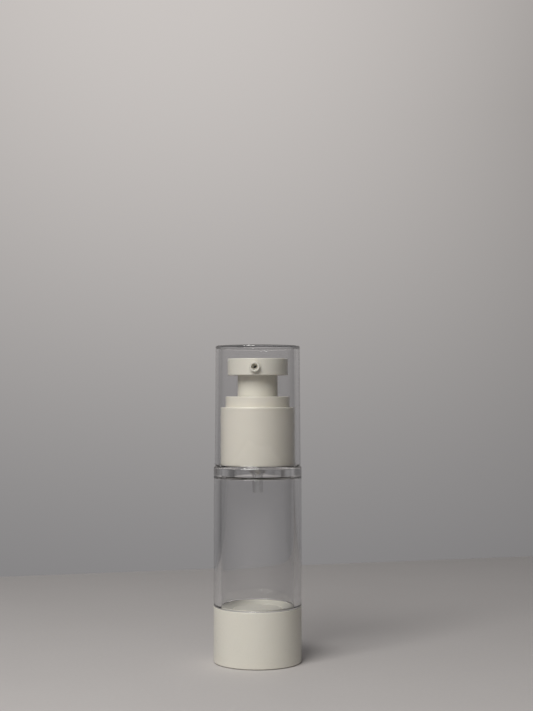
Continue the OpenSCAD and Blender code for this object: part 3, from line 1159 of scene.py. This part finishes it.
@dataclass
class PumpEngine(Part):
    """Pump cylinder, valves, stem and the seal on the neck."""

    cylinder: float = 3.9
    cylinder_bore: float = 3.1
    inlet: float = 1.85
    inlet_bore: float = 1.0
    seat: float = 64.09
    cone_drop: float = 0.7
    chamber: float = 1.9
    chamber_top: float = 67.67
    cage_lip: float = 0.5
    cage_hole: float = 1.4
    flange: float = 9.4
    flange_low: float = 77.8
    flange_high: float = 79.2
    pilot: Point = (8.0, 7.0)
    pilot_height: float = 2.5
    collar: float = 4.9
    collar_top: float = 82.1
    guide_low: float = 79.7
    neck_bore: float = 8.1
    slots: int = 3
    slot_in: float = 0.4
    slot_width: float = 0.8
    slot_past: float = 0.1
    hook: float = 1.2
    ball_steps: int = 48
    shank: float = 1.3
    head_edge: float = 0.7
    flutes: int = 4
    flute_depth: float = 0.5
    flute_width: float = 0.5
    flute_start: float = 0.3
    flute_past: float = 1.0
    waist_depth: float = 0.55
    lip: float = 0.9
    stem_out: float = 2.1
    stem_bore: float = 1.05
    stem_foot: Point = (2.6, 0.5)
    run_gap: float = 0.04
    push_gap: float = 0.05
    sink: float = 0.3

    def housing(self) -> None:
        """Makes the cylinder with its inlet tube, cage, flange and collar."""
        box = NodeBox.of("pump_housing")
        cone_low = self.seat - self.cone_drop
        floor = self.chamber_top + self.cage_lip
        root = self.flange_low - self.sink
        outline = (
            Outline(hold=0.06)
            .to(self.inlet_bore, box.low, 0.1)
            .to(self.inlet, box.low, 0.12)
            .to(self.inlet, cone_low, 0.3)
            .to(self.cylinder, cone_low + self.cylinder - self.inlet, 0.3)
            .to(self.cylinder, root, 0.3)
            .to(self.pilot[1], root, 0.2)
            .to(self.pilot[1], self.flange_low - self.pilot_height, 0.12)
            .to(self.pilot[0], self.flange_low - self.pilot_height, 0.2)
            .to(self.pilot[0], self.flange_low)
            .to(self.flange, self.flange_low, 0.1)
            .to(self.flange, self.flange_high, 0.15)
            .to(self.collar, self.flange_high, 0.2)
            .to(self.collar, box.high, 0.12)
            .to(self.cylinder, box.high, 0.12)
            .to(self.cylinder, self.guide_low, 0.1)
            .to(self.cylinder_bore, self.guide_low, 0.1)
            .to(self.cylinder_bore, floor, 0.15)
            .to(self.cage_hole, floor, 0.1)
            .to(self.cage_hole, self.chamber_top, 0.1)
            .to(self.chamber, self.chamber_top, 0.15)
            .to(self.chamber, self.seat + self.chamber - self.inlet_bore, 0.1)
            .to(self.inlet_bore, self.seat, 0.1)
        )
        housing = Solids.lathe("pump_cylinder", outline)
        slots = RibRing(self.slots, self.slot_in, self.chamber, self.slot_width,
                        self.chamber_top - self.slot_past, floor + self.slot_past)
        cutter = slots.make("cage_slots", self.dresser.material(NATURAL))
        Solids.combine(housing, [cutter], Cut.TAKE_AWAY)
        self.dresser.dress(housing, "pump_housing", Body.PUMP_CORE, NATURAL)

    def guide_ring(self) -> None:
        """Makes the ring that closes the cylinder and carries the spring."""
        box = NodeBox.of("housing_cap")
        bore = self.stem_out + self.run_gap
        outer = self.cylinder - self.push_gap
        hook = self.collar + self.push_gap
        outline = (
            Outline(hold=0.05)
            .to(bore, box.low, 0.12)
            .to(outer, box.low, 0.12)
            .to(outer, self.collar_top, 0.06)
            .to(hook, self.collar_top, 0.06)
            .to(hook, self.collar_top - self.hook, 0.06)
            .to(box.radius, self.collar_top - self.hook, 0.1)
            .to(box.radius, box.high, 0.25)
            .to(bore, box.high, 0.15)
        )
        self.dresser.dress(Solids.lathe("guide_ring", outline), "housing_cap", Body.PUMP_CORE, WHITE)

    def seal(self) -> None:
        """Makes the flat seal between flange and neck."""
        box = NodeBox.of("neck_gasket")
        outline = (
            Outline(hold=0.05)
            .to(self.neck_bore, box.low, 0.08)
            .to(box.radius, box.low, 0.08)
            .to(box.radius, box.high, 0.08)
            .to(self.neck_bore, box.high, 0.08)
        )
        self.dresser.dress(Solids.lathe("neck_seal", outline), "neck_gasket", Body.PUMP_CORE, SEAL)

    def ball(self) -> None:
        """Makes the ball of the inlet valve."""
        box = NodeBox.of("inlet_ball")
        middle = (box.low + box.high) / 2
        outline = Outline()
        for i in range(self.ball_steps + 1):
            a = -math.pi / 2 + math.pi * i / self.ball_steps
            outline.to(max(0.0, box.radius * math.cos(a)), middle + box.radius * math.sin(a), 0)
        ball = Solids.lathe("valve_ball", outline, Steps.THIN)
        self.dresser.dress(ball, "inlet_ball", Body.INLET_BALL, STEEL)

    def rod(self) -> None:
        """Makes the fluted valve rod that plugs into the stem."""
        box = NodeBox.of("piston_rod")
        plug = self.stem_bore - self.push_gap
        head_top = box.low + self.head_edge
        cone = box.radius - self.shank
        shoulder = NodeBox.of("stem").low - self.push_gap
        outline = (
            Outline(hold=0.04)
            .to(0, box.low, 0)
            .to(box.radius, box.low, 0.15)
            .to(box.radius, head_top, 0.08)
            .to(self.shank, head_top + cone, 0.15)
            .to(self.shank, shoulder, 0.06)
            .to(plug, shoulder, 0.05)
            .to(plug, box.high, 0.2)
            .to(0, box.high, 0)
        )
        rod = Solids.lathe("valve_rod", outline, Steps.THIN)
        start = NodeBox.of("pump_piston").low + cone + self.flute_start
        flutes = RibRing(self.flutes, plug - self.flute_depth, self.shank + self.flute_past,
                         self.flute_width, start, box.high + self.flute_past)
        Solids.combine(rod, [flutes.make("flutes", self.dresser.material(WHITE))], Cut.TAKE_AWAY)
        self.dresser.dress(rod, "piston_rod", Body.STEM, WHITE)

    def piston(self) -> None:
        """Makes the lipped piston that slides on the rod."""
        box = NodeBox.of("pump_piston")
        rod = NodeBox.of("piston_rod")
        inner = self.shank + self.run_gap
        waist = box.radius - self.waist_depth
        outline = (
            Outline(hold=0.04)
            .to(inner, box.low + rod.radius - self.shank, 0.08)
            .to(rod.radius, box.low, 0.06)
            .to(box.radius, box.low, 0.08)
            .to(waist, box.low + self.lip, 0.3)
            .to(waist, box.high - self.lip, 0.3)
            .to(box.radius, box.high, 0.08)
            .to(inner, box.high, 0.12)
        )
        piston = Solids.lathe("sliding_piston", outline, Steps.SLIM)
        self.dresser.dress(piston, "pump_piston", Body.PUMP_PISTON, SEAL)

    def stem(self) -> None:
        """Makes the hollow stem."""
        box = NodeBox.of("stem")
        foot, foot_height = self.stem_foot
        outline = (
            Outline(hold=0.05)
            .to(self.stem_bore, box.low, 0.08)
            .to(foot, box.low, 0.1)
            .to(foot, box.low + foot_height, 0.1)
            .to(self.stem_out, box.low + foot_height, 0.12)
            .to(self.stem_out, box.high, 0.25)
            .to(self.stem_bore, box.high, 0.12)
        )
        self.dresser.dress(Solids.lathe("stem_tube", outline, Steps.SLIM), "stem", Body.STEM, WHITE)

    def build(self) -> None:
        """Makes the whole pump."""
        self.housing()
        self.guide_ring()
        self.seal()
        self.ball()
        self.rod()
        self.piston()
        self.stem()


@dataclass
class ReturnSpring(Part):
    """Steel coil between the guide ring and the head's ribs."""

    wire: float = 0.7
    curls: float = 6.5
    end_pitch: float = 1.2
    middle_radius: float = 4.127
    rest_gap: float = 0.05
    stroke: float = 6.0
    steps: int = 56
    sides: int = 16

    def build(self) -> None:
        """Makes the spring."""
        box = NodeBox.of("return_spring")
        seat = NodeBox.of("housing_cap").high
        start = seat + self.wire / 2 + self.rest_gap
        top = box.high - self.wire / 2
        tree = GeometryTree("return_spring")
        radius = tree.size("Radius", self.middle_radius * MM)
        wire = tree.size("Wire radius", self.wire / 2 * MM)
        curls = tree.size("Curls", self.curls)
        end = tree.size("End pitch", self.end_pitch * MM)
        low = tree.size("Start height", start * MM)
        rise = tree.size("Rise", (top - start) * MM)
        count = tree.size("Points", round(self.curls * self.steps))
        turn = tree.turned(curls)
        # One curl at each end lies closer, and the open curls share the rest of the rise.
        open_curls = tree.math("SUBTRACT", curls, 2.0)
        open_rise = tree.math("SUBTRACT", rise, tree.math("MULTIPLY", end, 2.0))
        pitch = tree.math("DIVIDE", open_rise, open_curls)
        first = tree.math("MULTIPLY", tree.math("MINIMUM", turn, 1.0), end)
        past = tree.math("MINIMUM", tree.math("MAXIMUM", tree.math("SUBTRACT", turn, 1.0), 0.0), open_curls)
        last = tree.math("MAXIMUM", tree.math("SUBTRACT", turn, tree.math("SUBTRACT", curls, 1.0)), 0.0)
        height = tree.math("ADD", tree.math("ADD", low, first), tree.math(
            "ADD", tree.math("MULTIPLY", past, pitch), tree.math("MULTIPLY", last, end)))
        helix = tree.helix(count, turn, radius, height)
        coil = tree.add("GeometryNodeSetShadeSmooth", {"Geometry": tree.tube(helix, wire, self.sides)})
        spring = tree.make("spring", coil.outputs[0], self.dresser.material(STEEL))
        self.dresser.dress(spring, "return_spring", Body.PUMP_CORE, STEEL)
        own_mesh(spring)


@dataclass
class Closure(Part):
    """Screw closure on the neck and the shroud pressed over it."""

    inner: float = 10.5
    deck: float = 1.4
    hole: float = 5.65
    thread_height: float = 0.85
    thread_bead: float = 0.65
    thread_start: float = 68.95
    shroud_inner: float = 11.65
    ledge: float = 86.5
    step: float = 10.95
    step_inner: float = 9.95
    shroud_hole: float = 7.15
    top: float = 1.1
    ribs: int = 8
    rib_width: float = 0.8
    sink: float = 0.3
    rest_gap: float = 0.05

    def screw_ring(self) -> None:
        """Makes the threaded closure."""
        box = NodeBox.of("threaded_closure")
        outline = (
            Outline(hold=0.08)
            .to(self.inner, box.low, 0.15)
            .to(box.radius, box.low, 0.15)
            .to(box.radius, box.high, 0.25)
            .to(self.hole, box.high, 0.15)
            .to(self.hole, box.high - self.deck, 0.1)
            .to(self.inner, box.high - self.deck, 0.3)
        )
        ring = Solids.lathe("screw_closure", outline)
        middle = self.inner - self.thread_height + self.thread_bead
        thread = ThreadBead(middle, self.thread_bead, self.thread_start)
        bead = thread.make("closure_thread", self.dresser.material(WHITE))
        Solids.combine(ring, [bead], Cut.ADD)
        self.dresser.dress(ring, "threaded_closure", Body.CLOSURE, WHITE)

    def shroud(self) -> None:
        """Makes the shroud with its step, hole and stop ribs."""
        box = NodeBox.of("outer_shroud")
        outline = (
            Outline(hold=0.15)
            .to(self.shroud_inner, box.low, 0.15)
            .to(box.radius, box.low, 0.2)
            .to(box.radius, self.ledge, 0.3)
            .to(self.step, self.ledge, 0.2)
            .to(self.step, box.high, 0.3)
            .to(self.shroud_hole, box.high, 0.2)
            .to(self.shroud_hole, box.high - self.top, 0.15)
            .to(self.step_inner, box.high - self.top, 0.3)
            .to(self.step_inner, self.ledge - self.top, 0.15)
            .to(self.shroud_inner, self.ledge - self.top, 0.3)
        )
        shroud = Solids.lathe("shroud", outline)
        deck = NodeBox.of("threaded_closure").high + self.rest_gap
        ribs = RibRing(self.ribs, self.step_inner, self.shroud_inner + self.sink, self.rib_width,
                       deck, self.ledge - self.top + self.sink)
        Solids.combine(shroud, [ribs.make("stop_ribs", self.dresser.material(SHROUD_WHITE_PAINTED_BRIGHTER))], Cut.ADD)
        self.dresser.dress(shroud, "outer_shroud", Body.CLOSURE, SHROUD_WHITE_PAINTED_BRIGHTER)

    def build(self) -> None:
        """Makes both pieces."""
        self.screw_ring()
        self.shroud()


@dataclass
class PushHead(Part):
    """White head: disc, skirt, stem socket, ribs and nozzle in one moulding."""

    disc: float = 10.3
    wall: float = 1.1
    disc_low: float = 97.4
    disc_top: float = 1.2
    skirt: Point = (6.85, 5.75)
    socket: Point = (3.19, 2.14)
    socket_low: float = 90.8
    socket_top: float = 99.0
    channel: float = 1.05
    nozzle_height: float = 100.2
    nozzle: float = 1.75
    nozzle_bore: float = 1.0
    nozzle_tip: float = 11.6
    mouth_depth: float = 2.2
    mouth_lead: float = 0.12
    orifice: float = 0.5
    tip_edge: float = 0.22
    ribs: int = 6
    rib_width: float = 0.9
    rib_low: float = 96.0
    rib_lift: float = 1.0
    first_rib: float = 90.0
    spout_from: float = 0.4
    mouth_floor: float = 0.12
    sink: float = 0.3

    def build(self) -> None:
        """Makes the head."""
        box = NodeBox.of("actuator_head")
        plate = box.high - self.disc_top
        rim = self.disc - self.wall
        outline = (
            Outline(hold=0.12)
            .to(0, box.high, 0)
            .to(self.disc, box.high, 0.3)
            .to(self.disc, self.disc_low, 0.25)
            .to(rim, self.disc_low, 0.15)
            .to(rim, plate, 0.3)
            .to(self.skirt[0], plate, 0.3)
            .to(self.skirt[0], box.low, 0.2)
            .to(self.skirt[1], box.low, 0.2)
            .to(self.skirt[1], plate, 0.3)
            .to(self.socket[0], plate, 0.2)
            .to(self.socket[0], self.socket_low, 0.15)
            .to(self.socket[1], self.socket_low, 0.2)
            .to(self.socket[1], self.socket_top, 0.1)
            .to(self.channel, self.socket_top, 0.1)
            .to(self.channel, self.nozzle_height, 0.1)
            .to(0, self.nozzle_height, 0)
        )
        head = Solids.lathe("push_head", outline)
        white = self.dresser.material(WHITE)
        top = plate + self.sink
        inner = RibRing(self.ribs, self.socket[0] - self.sink, self.skirt[1] + self.sink, self.rib_width,
                        self.rib_low, top, self.first_rib)
        outer = RibRing(self.ribs, self.skirt[0] - self.sink, rim + self.sink, self.rib_width,
                        self.disc_low + self.rib_lift, top, self.first_rib)
        root = self.spout_from * self.nozzle_tip
        spout = self.along_nozzle("spout", (
            Outline(hold=0.04)
            .to(0, root, 0)
            .to(self.nozzle, root, 0)
            .to(self.nozzle, self.nozzle_tip, self.tip_edge)
            .to(0, self.nozzle_tip, 0)
        ))
        added = [inner.make("inner_ribs", white), outer.make("outer_ribs", white), spout]
        Solids.combine(head, added, Cut.ADD)
        mouth = self.nozzle_tip - self.mouth_depth
        past = self.nozzle_tip + self.mouth_lead
        bore = self.along_nozzle("bore", (
            Outline(hold=0.04)
            .to(0, 0, 0)
            .to(self.orifice, 0, 0)
            .to(self.orifice, mouth, 0.06)
            .to(self.nozzle_bore, mouth, self.mouth_floor)
            .to(self.nozzle_bore, self.nozzle_tip - self.mouth_lead, 0.06)
            .to(self.nozzle_bore + 2 * self.mouth_lead, past, 0)
            .to(0, past, 0)
        ))
        Solids.combine(head, [bore], Cut.TAKE_AWAY)
        self.dresser.dress(head, "actuator_head", Body.HEAD, WHITE)

    def along_nozzle(self, name: str, outline: Outline) -> Piece:
        """Makes a round solid along the nozzle's axis.

        Args:
            name: Name of the object.
            outline: Its outline, with heights measured outwards from the head's axis.

        Returns:
            The solid.
        """
        bar = Solids.lathe(name, outline, Steps.NARROW)
        lift = Matrix.Translation((0, 0, self.nozzle_height * MM))
        bar.data.transform(lift @ Matrix.Rotation(math.radians(90), 4, "X"))
        return bar


@dataclass
class Overcap(Part):
    """Clear cap with a slight taper."""

    wall: float = 1.45
    top: float = 1.1
    lean: float = 0.3
    top_edge: float = 0.4
    corner: float = 0.12
    lead_in: float = 0.25

    def build(self) -> None:
        """Makes the cap."""
        box = NodeBox.of("overcap")
        inner = box.radius - self.wall
        plate = box.high - self.top
        outline = (
            Outline()
            .to(0, plate, 0)
            .to(inner - self.lean, plate, self.corner)
            .to(inner, box.low + self.lead_in, 0.1)
            .to(inner + self.lead_in, box.low, 0.1)
            .to(box.radius, box.low, 0.25)
            .to(box.radius - self.lean, box.high, self.top_edge)
            .to(0, box.high, 0)
        )
        self.dresser.dress(Solids.lathe("clear_overcap", outline), "overcap", Body.OVERCAP, CLEAR_CAP)


class WorldTree(NodeTree):
    """The world's node tree while it is being built."""

    def __init__(self, name: str) -> None:
        """Starts an empty world.

        Args:
            name: Name of the world.
        """
        world = bpy.data.worlds.new(name)
        bpy.context.scene.world = world
        world.use_nodes = True
        super().__init__(world.node_tree)
        looked = self.add("ShaderNodeTexCoord").outputs["Generated"]
        self.direction = self.add("ShaderNodeSeparateXYZ", {0: looked}).outputs

    def light(self, share: Socket, low: Colour, high: Colour, level: Socket) -> Socket:
        """Makes a background of two blended colours.

        Args:
            share: Share of the higher colour.
            low: Colour where the share is 0.
            high: Colour where the share is 1.
            level: Strength.

        Returns:
            The background shader.
        """
        colour = self.mix(share, low, high)
        return self.add("ShaderNodeBackground", {"Color": colour, "Strength": level}).outputs[0]

    def split(self, seen: Socket, lighting: Socket) -> None:
        """Ends the world: one background for eyes, mirrors and glass, one for light on surfaces.

        Args:
            seen: The background that is seen.
            lighting: The background that lights.
        """
        path = self.add("ShaderNodeLightPath").outputs
        clear = self.math("MAXIMUM", path["Is Glossy Ray"], path["Is Transmission Ray"])
        looked = self.math("MAXIMUM", path["Is Camera Ray"], clear)
        both = self.add("ShaderNodeMixShader", {0: looked, 1: lighting, 2: seen}).outputs[0]
        self.add("ShaderNodeOutputWorld", {"Surface": both})


@dataclass
class Studio:
    """Camera, key light, backdrop and the slab that the bottle stands on."""

    focal: float = 68.15
    sensor: float = 36.0
    sight: Point = (20.0, 20000.0)
    distance: float = 460.8
    eye_height: float = 92.7
    pitch: float = 1.43
    azimuth: float = 4.8
    aside: float = 3.03
    key_azimuth: float = -21.0
    key_elevation: float = 45.0
    key_distance: float = 560.0
    key_size: Point = (320.0, 300.0)
    key_aim: float = 0.6
    key_power: float = 2.5
    key_colour: Colour = (1.0, 0.985, 0.95)
    slab_edge: tuple[Point, Point] = ((-132.0, 667.0), (148.0, 750.0))
    slab_reach: float = 1500.0
    slab_thickness: float = 18.0
    slab_colour: Colour = (0.605, 0.58, 0.574)
    slab_deep: Colour = (0.59, 0.565, 0.559)
    slab_cloud: float = 60.0
    slab_grain: float = 1.4
    slab_grain_depth: float = 0.03
    slab_roughness: Point = (0.55, 0.68)
    seen_low: Colour = (0.222, 0.218, 0.222)
    seen_high: Colour = (0.60, 0.566, 0.545)
    seen_rise: Point = (-0.22, 0.34)
    bright_side: float = -0.16
    fall_rise: Point = (-0.1, 0.2)
    fall_range: Point = (1.9, 4.5)
    side_from: Point = (0.035, 0.1)
    side_least: Point = (0.5, 0.85)
    side_end: Point = (0.3, 0.9)
    side_last: Point = (1.0, 0.5)
    front_from: Point = (-0.5, 0.1)
    front_level: Point = (0.3, 1.0)
    sky_low: Colour = (0.02, 0.02, 0.0206)
    sky_high: Colour = (0.28, 0.28, 0.289)
    sky_rise: Point = (0.2, 0.9)
    sky_across: Point = (-0.8, 0.8)
    sky_side: Point = (1.12, 0.05)

    def forward(self) -> Vector:
        """Returns the level direction in which the camera looks."""
        a = math.radians(self.azimuth)
        return Vector((-math.sin(a), math.cos(a), 0))

    def right(self) -> Vector:
        """Returns the camera's right-hand direction."""
        a = math.radians(self.azimuth)
        return Vector((math.cos(a), math.sin(a), 0))

    def eye(self) -> Vector:
        """Returns the camera's place, in millimetres."""
        return self.right() * self.aside - self.forward() * self.distance + Vector((0, 0, self.eye_height))

    def camera(self) -> None:
        """Makes the camera."""
        lens = bpy.data.cameras.new("camera")
        lens.lens = self.focal
        lens.sensor_width = self.sensor
        lens.clip_start = self.sight[0] * MM
        lens.clip_end = self.sight[1] * MM
        eye = bpy.data.objects.new("camera", lens)
        bpy.context.scene.collection.objects.link(eye)
        eye.location = self.eye() * MM
        look = self.forward() * math.cos(math.radians(self.pitch))
        look += Vector((0, 0, math.sin(math.radians(self.pitch))))
        eye.rotation_euler = look.to_track_quat("-Z", "Y").to_euler()
        bpy.context.scene.camera = eye

    def key(self) -> None:
        """Makes the softbox at the front left."""
        light = bpy.data.lights.new("softbox", "AREA")
        light.shape = "RECTANGLE"
        light.size = self.key_size[0] * MM
        light.size_y = self.key_size[1] * MM
        light.energy = self.key_power
        light.color = self.key_colour
        box = bpy.data.objects.new("softbox", light)
        bpy.context.scene.collection.objects.link(box)
        a, e = math.radians(self.key_azimuth), math.radians(self.key_elevation)
        out = Vector((math.sin(a) * math.cos(e), -math.cos(a) * math.cos(e), math.sin(e)))
        target = Vector((0, 0, self.eye_height * self.key_aim))
        box.location = (target + out * self.key_distance) * MM
        box.rotation_euler = (-out).to_track_quat("-Z", "Y").to_euler()

    def slab(self) -> None:
        """Makes the pale slab with its slanting far edge."""
        eye = self.eye()
        ends = [eye + self.right() * side + self.forward() * depth for side, depth in self.slab_edge]
        along = (ends[1] - ends[0]).normalized()
        along.z = 0
        left, right = ends[0] - along * self.slab_reach, ends[1] + along * self.slab_reach
        near = -self.forward() * 2 * self.slab_reach
        rim = [left + near, right + near, right, left]
        bm = bmesh.new()
        top = [bm.verts.new((p.x * MM, p.y * MM, 0)) for p in rim]
        face = bm.faces.new(top)
        low = bmesh.ops.extrude_face_region(bm, geom=[face])
        for v in low["geom"]:
            if isinstance(v, bmesh.types.BMVert):
                v.co.z = -self.slab_thickness * MM
        bmesh.ops.recalc_face_normals(bm, faces=bm.faces)
        slab = Solids.from_bmesh("slab", bm)
        slab.data.polygons.foreach_set("use_smooth", [False] * len(slab.data.polygons))
        shader = Shader("slab")
        cloud = shader.noise(self.slab_cloud, detail=3.0)
        grain = shader.noise(self.slab_grain, detail=4.0)
        slab.data.materials.append(shader.done(shader.surface({
            "Base Color": shader.blend(cloud, self.slab_deep, self.slab_colour),
            "Roughness": shader.spread(grain, *self.slab_roughness),
            "Normal": shader.relief(grain, self.slab_grain_depth),
        })))

    def backdrop(self) -> None:
        """Makes the room: a backdrop that is seen and mirrored, with painted light falloff in its colour,
        and a soft sky that lights.
        """
        room = WorldTree("room")
        across, ahead, up = (room.direction[axis] for axis in "XYZ")
        # Painted light falloff on the seen backdrop: brighter upward, brightest near a band just left of
        # the view and darker away from it, darker towards the sides and towards the front.
        spread = room.math("MULTIPLY", across, across)
        aside = room.math("SUBTRACT", across, self.bright_side)
        fall = room.math("MULTIPLY", room.math("MULTIPLY", aside, aside),
                         room.ramp(up, self.fall_rise, self.fall_range))
        level = room.math("MAXIMUM", room.math("SUBTRACT", 1.0, fall),
                          room.ramp(spread, self.side_from, self.side_least, Way.SMOOTH))
        for place, source, target in ((spread, self.side_end, self.side_last),
                                      (ahead, self.front_from, self.front_level)):
            level = room.math("MULTIPLY", level, room.ramp(place, source, target, Way.SMOOTH))
        height = room.ramp(up, self.seen_rise, WHOLE, Way.SMOOTH)
        seen = room.light(height, self.seen_low, self.seen_high, level)
        height = room.ramp(up, self.sky_rise, WHOLE, Way.SMOOTH)
        side = room.ramp(across, self.sky_across, self.sky_side, Way.SMOOTH)
        room.split(seen, room.light(height, self.sky_low, self.sky_high, side))

    def build(self) -> None:
        """Makes the whole studio."""
        self.camera()
        self.key()
        self.slab()
        self.backdrop()
        bpy.context.scene.view_settings.view_transform = "Standard"


def main() -> None:
    """Builds the bottle and its studio."""
    logging.basicConfig(level=logging.INFO, format="%(name)s %(message)s")
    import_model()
    Studio().build()
    dresser = Dresser()
    for part in (Base, ClearBottle, Follower, PumpEngine, ReturnSpring, Closure, PushHead, Overcap):
        part(dresser).build()
    bpy.context.view_layer.update()


if __name__ == "__main__":
    main()
